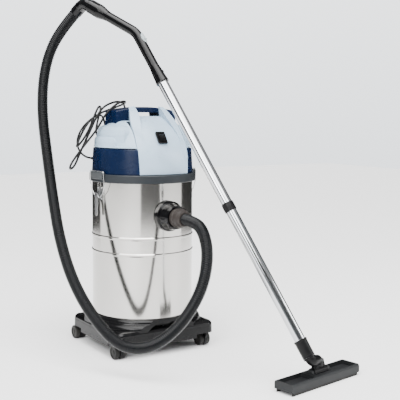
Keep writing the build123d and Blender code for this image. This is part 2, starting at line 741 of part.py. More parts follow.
# bent grip: from the socket up to the bend, then back towards the hose
HANDLE_BEND = WAND_HIGH + wand_dir * 205
HANDLE_END = Vector(-191, 38, 1240)
upper_dir = (HANDLE_END - HANDLE_BEND).normalized()
grip_start = WAND_HIGH + wand_dir * (SOCKET_DEPTH + 1)
BELL = 64.0
BELL_R = 24.5
BUTTON_AT = 34.0
thumb_dir = (wand_dir.cross(wand_side)).normalized()
if thumb_dir.Z < 0:
    thumb_dir = thumb_dir * -1
with BuildPart() as wand_handle:
    wand_revolve([(TUBE_R + 0.1, wand_length + SOCKET_DEPTH + 0.5), (TUBE_R + 0.1, wand_length),
                  (22.2, wand_length), (22.6, wand_length + 4), (20.6, wand_length + 22),
                  (19.6, wand_length + 40), (GRIP_R, wand_length + 66),
                  (14.2, wand_length + 66), (14.2, wand_length + SOCKET_DEPTH + 0.5)])
    with BuildLine():
        bend_line = FilletPolyline(WAND_HIGH + wand_dir * 65, HANDLE_BEND,
                                   HANDLE_END - upper_dir * (BELL - 2), radius=75)
    with BuildSketch(wand_plane(wand_length + 65)):
        Circle(GRIP_R)
        Circle(14.2, mode=Mode.SUBTRACT)
    sweep(path=bend_line)
    bell_section = Plane(origin=HANDLE_END, x_dir=wand_side, z_dir=wand_side.cross(upper_dir))
    with BuildSketch(bell_section):
        with BuildLine():
            Polyline((14.2, -BELL - 24), (GRIP_R, -BELL - 24), (GRIP_R + 1.5, -BELL - 12),
                     (BELL_R - 1, -BELL + 10), (BELL_R, -BELL + 16), (BELL_R, -3), (BELL_R - 1.3, 0),
                     (22.2, 0), (22.2, -30), (17, -34), (14.2, -BELL), close=True)
        make_face()
    revolve(axis=Axis(HANDLE_END, upper_dir))
    # window of the air relief and hole of the lock button
    with BuildSketch(Plane(origin=WAND_HIGH + wand_dir * 172, x_dir=wand_dir, z_dir=thumb_dir)):
        SlotOverall(22, 9)
    extrude(amount=25, mode=Mode.SUBTRACT)
    with BuildSketch(Plane(origin=WAND_HIGH + wand_dir * BUTTON_AT, x_dir=wand_dir, z_dir=thumb_dir)):
        Circle(4.1)
    extrude(amount=30, mode=Mode.SUBTRACT)
save(wand_handle, "wand_handle")

SLIDE_AT = 172.0
with BuildPart() as air_slide:
    slide_mid = WAND_HIGH + wand_dir * SLIDE_AT
    with BuildSketch(wand_plane(wand_length + SLIDE_AT - 20)):
        Circle(GRIP_R + 3.4)
        Circle(GRIP_R + 0.3, mode=Mode.SUBTRACT)
    extrude(amount=40)
    with BuildSketch(Plane(origin=slide_mid, x_dir=wand_dir, z_dir=thumb_dir)):
        Ellipse(19, 10)
    extrude(amount=30, mode=Mode.INTERSECT)
    with BuildSketch(Plane(origin=slide_mid + thumb_dir * (GRIP_R + 2), x_dir=wand_dir, z_dir=thumb_dir)):
        with Locations((-6, 0)):
            SlotOverall(16, 3, rotation=90)
    extrude(amount=3.6)
save(air_slide, "air_slide")

with BuildPart() as lock_button:
    button_base = WAND_HIGH + wand_dir * BUTTON_AT + thumb_dir * (TUBE_R + 2)
    with BuildSketch(Plane(origin=button_base, x_dir=wand_dir, z_dir=thumb_dir)):
        Circle(4.04)
    extrude(amount=2.4)
save(lock_button, "lock_button")

# ---------------------------------------------------------------- floor tool
TOOL_TURN = 10.0
TOOL_MID = Vector(252, -717, 0)
t = radians(TOOL_TURN)
tool_along = Vector(cos(t), sin(t), 0)
tool_back = Vector(-sin(t), cos(t), 0)
TOOL_L = 338.0
TOOL_LOW = 11.0
TOOL_TOP = 38.0
TILT_Z = 40.0
TILT_R = 16.0
BARREL_HALF = 34.0


def tool_plane(z, ahead=0.0, back=0.0):
    """Level plane over the tool's middle, its X axis along the tool."""
    return Plane(origin=TOOL_MID + tool_along * ahead + tool_back * back + Vector(0, 0, z),
                 x_dir=tool_along, z_dir=(0, 0, 1))


def tool_end_plane(ahead):
    """Upright plane across the tool: X to the back, Y up."""
    return Plane(origin=TOOL_MID + tool_along * ahead, x_dir=tool_back, z_dir=tool_along)


with BuildPart() as tool_body:
    with BuildSketch(tool_end_plane(-TOOL_L / 2)):
        with BuildLine():
            Polyline((-38, TOOL_LOW), (-38, 31), (-35, TOOL_TOP - 1), (-32, TOOL_TOP), (32, TOOL_TOP),
                     (35, TOOL_TOP - 1), (38, 31), (38, TOOL_LOW), close=True)
        make_face()
    extrude(amount=TOOL_L)
    # round cheeks at the ends of the tilting barrel
    with BuildSketch(tool_end_plane(-BARREL_HALF - 10)):
        with Locations((0, TILT_Z)):
            Circle(13)
        with Locations((0, TILT_Z - 7)):
            Rectangle(36, 14)
    extrude(amount=2 * BARREL_HALF + 20)
    for end in (-1, 1):
        with BuildSketch(tool_plane(24, end * 107)):
            RectangleRounded(112, 60, 6)
        extrude(amount=20, mode=Mode.SUBTRACT)
    # seat of the barrel, and the air way down to the mouth
    with BuildSketch(tool_end_plane(-BARREL_HALF)):
        with Locations((0, TILT_Z)):
            Circle(TILT_R + 0.3)
        with Locations((0, TILT_Z + 20)):
            Rectangle(100, 44)
    extrude(amount=2 * BARREL_HALF, mode=Mode.SUBTRACT)
    with BuildSketch(tool_plane(0)):
        RectangleRounded(306, 44, 8)
    extrude(amount=21, mode=Mode.SUBTRACT)
    with BuildSketch(tool_plane(15)):
        Circle(13)
    extrude(amount=20, mode=Mode.SUBTRACT)
save(tool_body, "tool_body")

BARREL = TOOL_MID + Vector(0, 0, TILT_Z)
with BuildPart() as tool_socket:
    wand_revolve([(TUBE_R + 0.1, 0), (22.4, 0), (22.4, -4), (21.0, -8), (20.6, -60), (16.2, -60),
                  (16.2, -SOCKET_DEPTH - 0.5), (TUBE_R + 0.1, -SOCKET_DEPTH - 0.5)])
save(tool_socket, "tool_socket")

NECK_R = 17.0
with BuildPart() as tool_neck:
    with BuildLine():
        neck_line = FilletPolyline(WAND_LOW - wand_dir * 61, WAND_LOW - wand_dir * 79,
                                   BARREL + Vector(-2, -1, 40), BARREL + Vector(-1, 0, 20), radius=[18, 18])
    with BuildSketch(Plane(origin=neck_line @ 0, x_dir=wand_side, z_dir=neck_line % 0)):
        Circle(NECK_R)
    sweep(path=neck_line)
    with BuildSketch(Plane(origin=neck_line @ 0, x_dir=wand_side, z_dir=neck_line % 0)):
        Circle(20.4)
    extrude(amount=6)
    with BuildSketch(tool_end_plane(0.4 - BARREL_HALF)):
        with Locations((0, TILT_Z)):
            Circle(TILT_R)
    extrude(amount=2 * BARREL_HALF - 0.8)
    # flared skirt from the elbow down to the barrel
    with BuildSketch(Plane(origin=BARREL + Vector(0, 0, 5), x_dir=tool_along, z_dir=(0, 0, 1))) as foot:
        RectangleRounded(2 * BARREL_HALF - 2, 18, 8)
    with BuildSketch(Plane(origin=BARREL + Vector(-2, -1, 42), x_dir=tool_along, z_dir=(0, 0, 1))) as top:
        RectangleRounded(2 * NECK_R, 2 * NECK_R, NECK_R - 0.5)
    loft(sections=[foot.sketch, top.sketch])
save(tool_neck, "tool_neck")

STRIP_L = 326.0
TEETH = 27
with BuildPart() as tool_strips:
    for back in (-32, 32):
        with BuildSketch(tool_plane(0, 0, back)):
            Rectangle(STRIP_L, 5)
        extrude(amount=TOOL_LOW)
    with BuildSketch(Plane(origin=TOOL_MID - tool_back * 40, x_dir=tool_along, z_dir=-tool_back)):
        with GridLocations(STRIP_L / TEETH, 1, TEETH, 1):
            Rectangle(3.2, 7)
    extrude(amount=-12, mode=Mode.SUBTRACT)
save(tool_strips, "tool_strips")

# ---------------------------------------------------------------- hose
def corner_radii(route, diameter, name):
    """Arc radius at each corner: 0.45 of the shorter run over the tangent of half the turn."""
    points = [Vector(*p) for p in route]
    runs = [b - a for a, b in zip(points, points[1:])]
    radii = []
    for one, two in zip(runs, runs[1:]):
        turn = radians(one.get_angle(two))
        radii.append(0.45 * min(one.length, two.length) / tan(turn / 2))
    print(name, "smallest radius", round(min(radii)), "mm,", round(min(radii) / diameter, 1), "diameters")
    return radii


HOSE_ROUTE = [
    (0, HOSE_START, INLET_Z), (0, -345, INLET_Z), (-2, -415, 485), (-18, -475, 412), (-60, -508, 305),
    (-130, -490, 190), (-203, -423, 108), (-263, -325, 98), (-308, -225, 175), (-335, -115, 285),
    (-337, -10, 420), (-322, 82, 560), (-311, 155, 705), (-308, 205, 850), (-297, 222, 980),
    (-272, 218, 1085), (-243, 172, 1165), (-213, 112, 1222)]
with BuildPart() as hose:
    with BuildLine():
        hose_line = FilletPolyline(*HOSE_ROUTE, radius=corner_radii(HOSE_ROUTE, HOSE_D, "hose"))
    with BuildSketch(Plane(origin=HOSE_ROUTE[0], z_dir=(0, -1, 0))):
        Circle(HOSE_D / 2)
    sweep(path=hose_line)
print("hose length", round(hose_line.length), "volume ratio",
      round(hose.part.volume / (pi * HOSE_D**2 / 4 * hose_line.length), 4))
save(hose, "hose")

# moulded elbow between the bent grip and the hose
hose_end = Vector(*HOSE_ROUTE[-1])
hose_end_dir = (Vector(*HOSE_ROUTE[-2]) - hose_end).normalized()
with BuildPart() as hose_cuff_wand:
    with BuildLine():
        elbow = FilletPolyline(HANDLE_END - upper_dir * 28, HANDLE_END + upper_dir * 24,
                               hose_end - hose_end_dir * 30, hose_end, radius=[26, 26])
    with BuildSketch(Plane(origin=elbow @ 0, z_dir=elbow % 0)):
        Circle(HOSE_D / 2 + 1.6)
    sweep(path=elbow)
save(hose_cuff_wand, "hose_cuff_wand")

# ---------------------------------------------------------------- mains lead
gland_out = side_plane(GLAND_ANGLE).z_dir
GLAND_TIP = gland_out * (BODY_R + 40) + Vector(0, 0, GLAND_Z)
with BuildPart() as lead_gland:
    gland_base = gland_out * (BODY_R + 3) + Vector(0, 0, GLAND_Z)
    with BuildSketch(Plane(origin=gland_base, x_dir=(0, 0, 1), z_dir=gland_out)):
        Circle(9)
    with BuildSketch(Plane(origin=GLAND_TIP, x_dir=(0, 0, 1), z_dir=gland_out)):
        Circle(5.4)
    loft()
    with BuildSketch(Plane(origin=GLAND_TIP, x_dir=(0, 0, 1), z_dir=gland_out)):
        Circle(LEAD_D / 2 + 0.2)
    extrude(amount=-6, mode=Mode.SUBTRACT)
save(lead_gland, "lead_gland")

tip = GLAND_TIP - gland_out * 6
turn = GLAND_TIP + gland_out * 36
COIL_MID = (85, 317)
COIL_R = 48.0
COIL_H = 32.0
COIL_BAND = 16.0
LEAD_ROUTE = [
    (tip.X, tip.Y, tip.Z), (turn.X, turn.Y, turn.Z), (-152, 256, 742), (-130, 250, 806), (-80, 214, 858),
    (-34, 150, 884), (-24, 88, 899), (-54, 36, 908), (-100, 12, 898), (-148, 4, 862), (-178, 12, 806),
    (-210, 26, 762), (-240, 42, 718), (-262, 60, 678), (-252, 90, 656), (-224, 108, 668),
    (-212, 92, 712), (-204, 68, 752), (-190, 46, 798), (-174, 34, 844), (-144, 34, 886), (-92, 50, 904),
    (-44, 78, 905), (-6, 122, 884), (8, 174, 836), (-6, 216, 782), (-46, 238, 752), (-88, 216, 784),
    (-100, 168, 836), (-112, 114, 882), (-140, 76, 890), (-168, 60, 850), (-186, 62, 804),
    (-204, 78, 764), (-213, 106, 740), (-202, 138, 738), (-182, 156, 768), (-160, 150, 812),
    (-118, 166, 850), (-66, 196, 858), (-30, 238, 800), (-14, 264, 700), (2, 276, 585), (24, 281, 470),
    (48, 282, 355), (68, 278, 245), (85, 269, 140), (85, 269, COIL_H)]
with BuildPart() as mains_lead:
    with BuildLine():
        lead_line = FilletPolyline(*LEAD_ROUTE, radius=corner_radii(LEAD_ROUTE, LEAD_D, "lead"))
    with BuildSketch(Plane(origin=LEAD_ROUTE[0], z_dir=lead_line % 0)):
        Circle(LEAD_D / 2)
    sweep(path=lead_line)
print("lead length outside its coil", round(lead_line.length), "volume ratio",
      round(mains_lead.part.volume / (pi * LEAD_D**2 / 4 * lead_line.length), 4))
save(mains_lead, "mains_lead")

with BuildPart() as lead_coil:
    with BuildSketch(Plane.XY):
        with Locations(COIL_MID):
            Circle(COIL_R + COIL_BAND)
            Circle(COIL_R - COIL_BAND, mode=Mode.SUBTRACT)
    extrude(amount=COIL_H)
    fillet(edges(), 8)
save(lead_coil, "lead_coil")

with BuildPart() as mains_plug:
    # moulded two-pin plug, lying flat on the coil
    with BuildSketch(Plane.XY.offset(COIL_H)):
        with Locations((COIL_MID[0], COIL_MID[1] + COIL_R)):
            Polygon((24, -5), (12, -6.5), (-2, -16), (-16, -17), (-16, 17), (-2, 16), (12, 6.5), (24, 5),
                    align=None)
    extrude(amount=15)
    fillet(edges().filter_by(Axis.Z), 2)
    fillet(faces().sort_by(Axis.Z)[-1].edges(), 3)
    with BuildSketch(Plane.YZ.offset(COIL_MID[0] - 15)):
        with Locations((COIL_MID[1] + COIL_R - 9.3, COIL_H + 7.5), (COIL_MID[1] + COIL_R + 9.3, COIL_H + 7.5)):
            Circle(2.4)
    extrude(amount=-20)
save(mains_plug, "mains_plug")

# ---------------------------------------------------------------- fasteners
with BuildPart() as latch_rivets:
    for angle in (-LATCH_ANGLE, LATCH_ANGLE):
        for x in (-11, 11):
            for z in (558, 596):
                with BuildSketch(side_plane(angle).offset(DRUM_R + 2)) as head:
                    with Locations((x, z)):
                        Circle(2.6)
                extrude(head.sketch, amount=1.4)
save(latch_rivets, "latch_rivets")
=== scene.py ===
# %% [markdown]
# # Wet and dry shop vacuum
# A steel drum stands in a moulded tray on four castors, and a latched head carries the motor.
# A ribbed hose runs from the inlet to a bent grip, two plated tubes and a swivelling floor tool.
# The rigid pieces come from the CAD frame, in metres. This script adds what CAD leaves plain: the
# ribbed hose, the lead and its coil, the boot on the lead, the pleated filter, and every finish.

# %% Load the frame
import bpy
import json
from math import cos, pi, radians, sin
from mathutils import Matrix, Vector


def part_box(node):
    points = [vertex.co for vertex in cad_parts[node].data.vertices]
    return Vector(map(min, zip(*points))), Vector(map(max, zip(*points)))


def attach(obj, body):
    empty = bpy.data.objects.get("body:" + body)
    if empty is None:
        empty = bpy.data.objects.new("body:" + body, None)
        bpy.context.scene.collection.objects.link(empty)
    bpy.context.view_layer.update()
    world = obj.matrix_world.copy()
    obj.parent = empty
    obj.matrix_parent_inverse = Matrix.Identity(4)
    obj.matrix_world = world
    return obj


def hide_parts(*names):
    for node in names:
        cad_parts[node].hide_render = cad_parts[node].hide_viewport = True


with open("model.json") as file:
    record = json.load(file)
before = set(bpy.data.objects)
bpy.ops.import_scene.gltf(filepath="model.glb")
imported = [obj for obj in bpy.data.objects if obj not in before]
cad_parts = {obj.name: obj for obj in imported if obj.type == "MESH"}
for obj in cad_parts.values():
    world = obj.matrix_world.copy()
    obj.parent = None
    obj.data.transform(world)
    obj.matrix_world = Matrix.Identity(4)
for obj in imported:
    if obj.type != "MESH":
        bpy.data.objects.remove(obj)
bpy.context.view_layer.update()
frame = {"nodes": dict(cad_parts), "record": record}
NODES = frame["nodes"]
MM = 0.001

# %% [markdown]
# ## Colours
# Colours are written as sRGB hex, the way a paint chart gives them. Shaders work with light, which
# adds up evenly only in linear values, so each code is turned to linear once, here.

# %% Colour tools
def linear(code):
    """Linear RGBA of a hex colour."""
    parts = [int(code[i:i + 2], 16) / 255 for i in (1, 3, 5)]
    return [c / 12.92 if c <= 0.04045 else ((c + 0.055) / 1.055) ** 2.4 for c in parts] + [1.0]


def scaled(colour, factor):
    """A colour made lighter or darker."""
    return [min(1.0, c * factor) for c in colour[:3]] + [1.0]


print("mid grey is", [round(c, 3) for c in linear("#808080")])

# %% [markdown]
# ## Shader nodes
# A material is a small graph of nodes. `add` makes one node: its options are set by name, and each
# input takes either a value or another node's output. `finished` ends every recipe with the
# shader and its output. Sizes of patterns are given in millimetres of the real surface, and
# `per_metre` turns one into the number of grains that a noise node wants for each metre.

# %% Node tools
def add(tree, kind, inputs=None, **options):
    """One shader node."""
    node = tree.nodes.new("ShaderNode" + kind)
    for key, value in options.items():
        setattr(node, key, value)
    for key, value in (inputs or {}).items():
        if isinstance(value, bpy.types.NodeSocket):
            tree.links.new(value, node.inputs[key])
        else:
            node.inputs[key].default_value = value
    return node


def per_metre(size_mm):
    """How many grains of size_mm lie along one metre."""
    return 1 / (size_mm * MM)


def empty_material(name):
    """A new material's node tree, and the object's own coordinates in metres."""
    material = bpy.data.materials.new(name)
    material.use_nodes = True
    material.node_tree.nodes.clear()
    return material, add(material.node_tree, "TexCoord").outputs["Object"]


def finished(material, shader_inputs):
    """The material with its shader and output in place."""
    tree = material.node_tree
    shader = add(tree, "BsdfPrincipled", shader_inputs)
    add(tree, "OutputMaterial", {"Surface": shader.outputs[0]})
    return material


# noise nodes keep most of their values between these two, so they are spread out from there
NOISE_LOW = 0.3
NOISE_HIGH = 0.7
SPREAD = {"From Min": NOISE_LOW, "From Max": NOISE_HIGH}
print("a 0.5 mm grain repeats", round(per_metre(0.5)), "times in a metre")

# %% [markdown]
# ## Moulded plastic
# Most of the machine is injection moulded. A steel mould with a spark-eroded surface leaves a fine
# grain, the melt leaves faint cloudy flow in the colour, and handled edges polish a little lighter.
# All three are in one recipe, because the parts differ only in colour, gloss and depth of grain.

# %% Plastic recipe
FLOW_MM = 60
HANDLED_MM = 25


def moulded(name, code, rough, grain_mm=0.5, depth_mm=0.01, coat=0.0, worn=1.25):
    """Injection-moulded plastic. Black grades are filled with soot, and so shine less."""
    colour = linear(code)
    shine = 0.4 if colour[1] > 0.02 else 0.16
    material, place = empty_material(name)
    tree = material.node_tree
    flow = add(tree, "TexNoise", {"Vector": place, "Scale": per_metre(FLOW_MM), "Detail": 3.0})
    cloud = add(tree, "MapRange", {"Value": flow.outputs["Fac"], **SPREAD})
    body = add(tree, "Mix", {0: cloud.outputs[0], 6: scaled(colour, 0.93), 7: scaled(colour, 1.07)},
               data_type="RGBA")
    edge = add(tree, "NewGeometry").outputs["Pointiness"]
    rubbed = add(tree, "MapRange", {"Value": edge, "From Min": 0.52, "From Max": 0.6})
    lit = add(tree, "Mix", {0: rubbed.outputs[0], 6: body.outputs[2], 7: scaled(colour, worn)},
              data_type="RGBA")
    hands = add(tree, "TexNoise", {"Vector": place, "Scale": per_metre(HANDLED_MM), "Detail": 3.0})
    gloss = add(tree, "MapRange", {"Value": hands.outputs["Fac"], **SPREAD,
                                   "To Min": rough - 0.04, "To Max": rough + 0.05})
    grain = add(tree, "TexNoise", {"Vector": place, "Scale": per_metre(grain_mm), "Detail": 3.0})
    relief = add(tree, "Bump", {"Height": grain.outputs["Fac"], "Distance": depth_mm * MM,
                                "Strength": 1.0})
    return finished(material, {
        "Base Color": lit.outputs[2], "Roughness": gloss.outputs[0], "Normal": relief.outputs[0],
        "IOR": 1.5, "Specular IOR Level": shine, "Coat Weight": coat, "Coat Roughness": 0.08})


# %% [markdown]
# ## Plastic grades
# ABS takes a smooth, glossy skin, so the shell pieces are ABS. Polypropylene and polyethylene look
# waxy and softer. Nylon is dull and tough, so the castors, keepers and slide are nylon. A real
# grain is a tenth of a millimetre or less, too fine to show from here, so it is drawn about half a
# millimetre wide.

# %% Plastics
FINISH = {
    # deep blue with a soft window of light on it
    "navy_plastic": moulded("navy ABS", "#05122A", 0.26, 0.4, 0.002, 0.05),
    # cool and milky, so its steps show as pale shade
    "pale_plastic": moulded("pale blue grey ABS", "#9BB0C2", 0.30, 0.5, 0.002, 0.05, 1.05),
    # a waxy grey band between the glossy head and the steel
    "ring_plastic": moulded("slate grey polypropylene", "#232629", 0.36, 0.5, 0.003, 0.0, 1.1),
    "keeper_plastic": moulded("grey keeper nylon", "#303335", 0.36, 0.5, 0.003, 0.0, 1.05),
    # black, with long soft streaks of light along the tray's edges
    "base_plastic": moulded("black tray ABS", "#060607", 0.24, 0.5, 0.002, 0.08),
    "castor_plastic": moulded("black castor nylon", "#070708", 0.36, 0.6, 0.006),
    # the glossiest pieces: the inlet and the grip, with small sharp highlights
    "inlet_plastic": moulded("gloss black inlet ABS", "#040405", 0.16, 0.4, 0.001, 0.12),
    "grip_plastic": moulded("gloss black grip ABS", "#040405", 0.14, 0.5, 0.001, 0.15),
    # warm and dull beside the hose
    "cuff_plastic": moulded("brown grey cuff polyethylene", "#2A2624", 0.45, 0.6, 0.015),
    # a thin line of light on each rib
    "hose_plastic": moulded("black hose polyethylene", "#07080A", 0.24, 0.8, 0.004),
    "slide_plastic": moulded("light grey slide nylon", "#9AA3A6", 0.42, 0.5, 0.008, 0.0, 1.05),
    # scuffed dark grey with no sharp highlight
    "tool_plastic": moulded("dark grey tool polypropylene", "#1A1B1C", 0.42, 0.6, 0.008),
    "switch_plastic": moulded("black switch polycarbonate", "#040405", 0.22, 0.4, 0.001, 0.1),
    # glass fibres at the skin leave the inner frames dull
    "inner_plastic": moulded("black glass-filled nylon", "#101112", 0.5, 0.8, 0.02),
}
print("plastics:", len(FINISH))

# %% [markdown]
# ## Metals
# The drum is rolled from polished stainless sheet. Rolling leaves faint lines round it, and the
# sheet is never quite flat, so its reflections waver. The tubes and latches are chrome plated:
# brighter, with only fine handling marks. Cast and pressed pieces inside are duller. Real polishing
# lines are far under a tenth of a millimetre, so they are drawn about half a millimetre wide.

# %% Metal recipe
STAIN_MM = 90
WAVE_MM = 120


def metal(name, code, rough, line_mm, stretch, line_depth_mm, wave_depth_mm=0.0):
    """Metal with drawn lines and, on sheet, a slow waver. A small stretch draws the lines out."""
    colour = linear(code)
    material, place = empty_material(name)
    tree = material.node_tree
    drawn = add(tree, "Mapping", {"Vector": place, "Scale": stretch})
    lines = add(tree, "TexNoise", {"Vector": drawn.outputs[0], "Scale": per_metre(line_mm),
                                   "Detail": 2.0})
    stain = add(tree, "TexNoise", {"Vector": place, "Scale": per_metre(STAIN_MM), "Detail": 3.0})
    share = add(tree, "MapRange", {"Value": stain.outputs["Fac"], **SPREAD})
    body = add(tree, "Mix", {0: share.outputs[0], 6: colour, 7: scaled(colour, 0.94)},
               data_type="RGBA")
    gloss = add(tree, "MapRange", {"Value": lines.outputs["Fac"], **SPREAD,
                                   "To Min": rough, "To Max": rough + 0.05})
    slow = add(tree, "Mapping", {"Vector": place, "Scale": (1, 1, 0.5)})
    wave = add(tree, "TexNoise", {"Vector": slow.outputs[0], "Scale": per_metre(WAVE_MM),
                                  "Detail": 1.0})
    lift = add(tree, "Math", {0: wave.outputs["Fac"], 1: wave_depth_mm / line_depth_mm,
                              2: lines.outputs["Fac"]}, operation="MULTIPLY_ADD")
    relief = add(tree, "Bump", {"Height": lift.outputs[0], "Distance": line_depth_mm * MM,
                                "Strength": 1.0})
    return finished(material, {"Base Color": body.outputs[2], "Roughness": gloss.outputs[0],
                               "Normal": relief.outputs[0], "Metallic": 1.0})


ROUND = (0.02, 0.02, 1)
ALONG = (1, 1, 0.1)

# %% Metals
FINISH.update({
    # warm silver whose reflections waver a little
    "stainless": metal("polished stainless sheet", "#C2C0BC", 0.11, 0.7, ROUND, 0.0006, 0.05),
    "latch_steel": metal("plated latch steel", "#C9CACB", 0.12, 0.5, ALONG, 0.0006),
    # nearly a mirror, with long sharp streaks down the tube
    "chrome_tube": metal("chromed tube", "#C6C8CB", 0.05, 0.6, (1, 1, 0.05), 0.0003, 0.004),
    "fan_metal": metal("pressed aluminium", "#C4C7CA", 0.25, 0.5, (0.05, 1, 1), 0.002),
    # thin plates, stacked, show as fine level lines
    "motor_metal": metal("stacked laminations", "#75777A", 0.42, 0.5, ROUND, 0.05),
    "copper": metal("enamelled copper winding", "#B5683A", 0.3, 0.7, (1, 1, 0.05), 0.12),
    "carbon": metal("pressed carbon", "#2A2A2B", 0.55, 0.4, (1, 1, 1), 0.01),
    "bearing_steel": metal("ground bearing steel", "#BFC0C2", 0.16, 0.3, ALONG, 0.001),
})
print("finishes so far:", len(FINISH))

# %% [markdown]
# ## Rubber, paper and foam
# Rubber is moulded too, but softer: it scatters light, picks up dust and never takes a sharp
# highlight. The filter is folded paper, and its folds are modelled further down, so the material
# only needs fibres. The exhaust foam is open cells about two millimetres wide.

# %% Soft recipe
DUST = linear("#8D8B86")
DUST_MM = 45


def soft(name, code, rough, grain_mm, depth_mm, dust):
    """Rubber, paper or foam, with an even grain and a little dust."""
    material, place = empty_material(name)
    tree = material.node_tree
    settled = add(tree, "TexNoise", {"Vector": place, "Scale": per_metre(DUST_MM), "Detail": 3.0})
    share = add(tree, "MapRange", {"Value": settled.outputs["Fac"], **SPREAD, "To Max": dust})
    body = add(tree, "Mix", {0: share.outputs[0], 6: linear(code), 7: DUST}, data_type="RGBA")
    gloss = add(tree, "MapRange", {"Value": settled.outputs["Fac"], **SPREAD,
                                   "To Min": rough - 0.06, "To Max": rough + 0.08})
    grain = add(tree, "TexNoise", {"Vector": place, "Scale": per_metre(grain_mm), "Detail": 3.0})
    relief = add(tree, "Bump", {"Height": grain.outputs["Fac"], "Distance": depth_mm * MM,
                                "Strength": 1.0})
    return finished(material, {"Base Color": body.outputs[2], "Roughness": gloss.outputs[0],
                               "Normal": relief.outputs[0], "IOR": 1.45, "Specular IOR Level": 0.2})


# %% Soft materials, and a finish for every CAD node
FINISH.update({
    "castor_tread": soft("black castor tread", "#0B0B0B", 0.45, 0.5, 0.02, 0.08),
    "lead_rubber": soft("black lead rubber", "#08090B", 0.42, 0.4, 0.01, 0.04),
    "strip_rubber": soft("black strip rubber", "#080808", 0.5, 0.5, 0.02, 0.08),
    "seal_rubber": soft("black seal rubber", "#151515", 0.55, 0.5, 0.02, 0.05),
    "filter_paper": soft("pleated filter paper", "#E4DFCE", 0.8, 0.35, 0.03, 0.1),
    "foam": soft("open cell foam", "#2C2D2F", 0.9, 2.0, 0.8, 0.1),
})
for part in frame["record"]["subparts"]:
    node = NODES[part["node"]]
    node.data.materials.clear()
    node.data.materials.append(FINISH[part["material_slot"]])

# %% [markdown]
# ## Smooth lines and tubes
# A hose or lead is drawn as one smooth spline through the air, from points about a hand apart, as
# it would be laid by hand. `line_of` reads that spline back as evenly spaced points, and `skin`
# puts rings round them, so a tube can change its radius from one ring to the next.

# %% Pieces and splines
def new_piece(name, points, faces, finish):
    """A smooth mesh piece that rides on the machine's own body."""
    mesh = bpy.data.meshes.new(name)
    mesh.from_pydata(points, [], faces)
    mesh.update()
    mesh.shade_smooth()
    mesh.materials.append(finish)
    piece = bpy.data.objects.new(name, mesh)
    bpy.context.scene.collection.objects.link(piece)
    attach(piece, "root")
    return piece


def spline_piece(name, points_mm, width_mm):
    """A curve of one open spline, as thick as width_mm."""
    curve = bpy.data.curves.new(name, "CURVE")
    curve.dimensions = "3D"
    curve.resolution_u = 10
    curve.bevel_depth = width_mm / 2 * MM
    curve.bevel_resolution = 3
    curve.use_fill_caps = width_mm > 0
    spline = curve.splines.new("NURBS")
    spline.points.add(len(points_mm) - 1)
    for point, place in zip(spline.points, points_mm):
        point.co = (place[0] * MM, place[1] * MM, place[2] * MM, 1)
    spline.order_u = 3
    spline.use_endpoint_u = True
    piece = bpy.data.objects.new(name, curve)
    bpy.context.scene.collection.objects.link(piece)
    return piece


# %% Lines and skins
def line_of(points_mm, step_mm):
    """Evenly spaced points of the smooth line that the control points make."""
    guide = spline_piece("guide", points_mm, 0)
    bpy.context.view_layer.update()
    mesh = bpy.data.meshes.new_from_object(guide)
    raw = [v.co.copy() for v in mesh.vertices]
    bpy.data.objects.remove(guide)
    line = [raw[0]]
    left = step_mm * MM
    for a, b in zip(raw, raw[1:]):
        run = (b - a).length
        while run >= left:
            a = a + (b - a) * (left / run)
            line.append(a)
            run = (b - a).length
            left = step_mm * MM
        left -= run
    return line


def length_of(line):
    """Length along a row of points."""
    return sum((b - a).length for a, b in zip(line, line[1:]))


def skin(line, radii, sides):
    """Points and faces of a tube round a line, with its own radius at each point."""
    points, faces = [], []
    across = Vector((1, 0, 0))
    for i, here in enumerate(line):
        ahead = (line[min(i + 1, len(line) - 1)] - line[max(i - 1, 0)]).normalized()
        across = (across - ahead * across.dot(ahead)).normalized()
        up = ahead.cross(across)
        for k in range(sides):
            turn = 2 * pi * k / sides
            points.append(here + (across * cos(turn) + up * sin(turn)) * radii[i])
    for i in range(len(line) - 1):
        for k in range(sides):
            a, b = i * sides + k, i * sides + (k + 1) % sides
            faces.append((a, b, b + sides, a + sides))
    faces.append(tuple(range(sides))[::-1])
    faces.append(tuple(range(len(points) - sides, len(points))))
    return points, faces


print("shape tools ready")

# %% [markdown]
# ## Hose
# The hose is blown polyethylene: soft rings a few millimetres apart, joined by thinner valleys, so
# it bends without closing up. It leaves the inlet straight, drops to just above the floor, swings
# back past the tray, and climbs behind the machine to the grip. It is two metres long. The rings
# are modelled rather than painted, six points to a ring, so that the hose's outline has them too.

# %% Hose
# millimetres
HOSE_WIDE = 40
RIB_PITCH = 6.6
RIB_DEPTH = 2.8
RIB_POINTS = 6
HOSE_SIDES = 28
HOSE_ROUTE = [
    (0, -285, 503), (0, -345, 503), (-2, -415, 485), (-18, -475, 412), (-60, -508, 305),
    (-130, -490, 190), (-203, -423, 108), (-263, -325, 98), (-308, -225, 175), (-335, -115, 285),
    (-337, -10, 420), (-322, 82, 560), (-311, 155, 705), (-308, 205, 850), (-297, 222, 980),
    (-272, 218, 1085), (-243, 172, 1165), (-213, 112, 1222)]
hose_line = line_of(HOSE_ROUTE, RIB_PITCH / RIB_POINTS)
radii = [(HOSE_WIDE / 2 - RIB_DEPTH * (0.5 - 0.5 * cos(2 * pi * i / RIB_POINTS)) ** 1.5) * MM
         for i in range(len(hose_line))]
points, faces = skin(hose_line, radii, HOSE_SIDES)
hose = new_piece("ribbed_hose", points, faces, FINISH["hose_plastic"])
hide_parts("hose")

# %% [markdown]
# ## Mains lead
# The lead is black rubber, eight millimetres thick. It leaves its boot at the back, lies in slack
# turns over the carry handle with loops hanging at the left, and drops behind the machine. The
# rest is wound into a neat coil on the floor behind it, with the plug on top. The coil's turns come
# from a loop: three turns down the outside, three flat layers, and one turn back up to the plug.

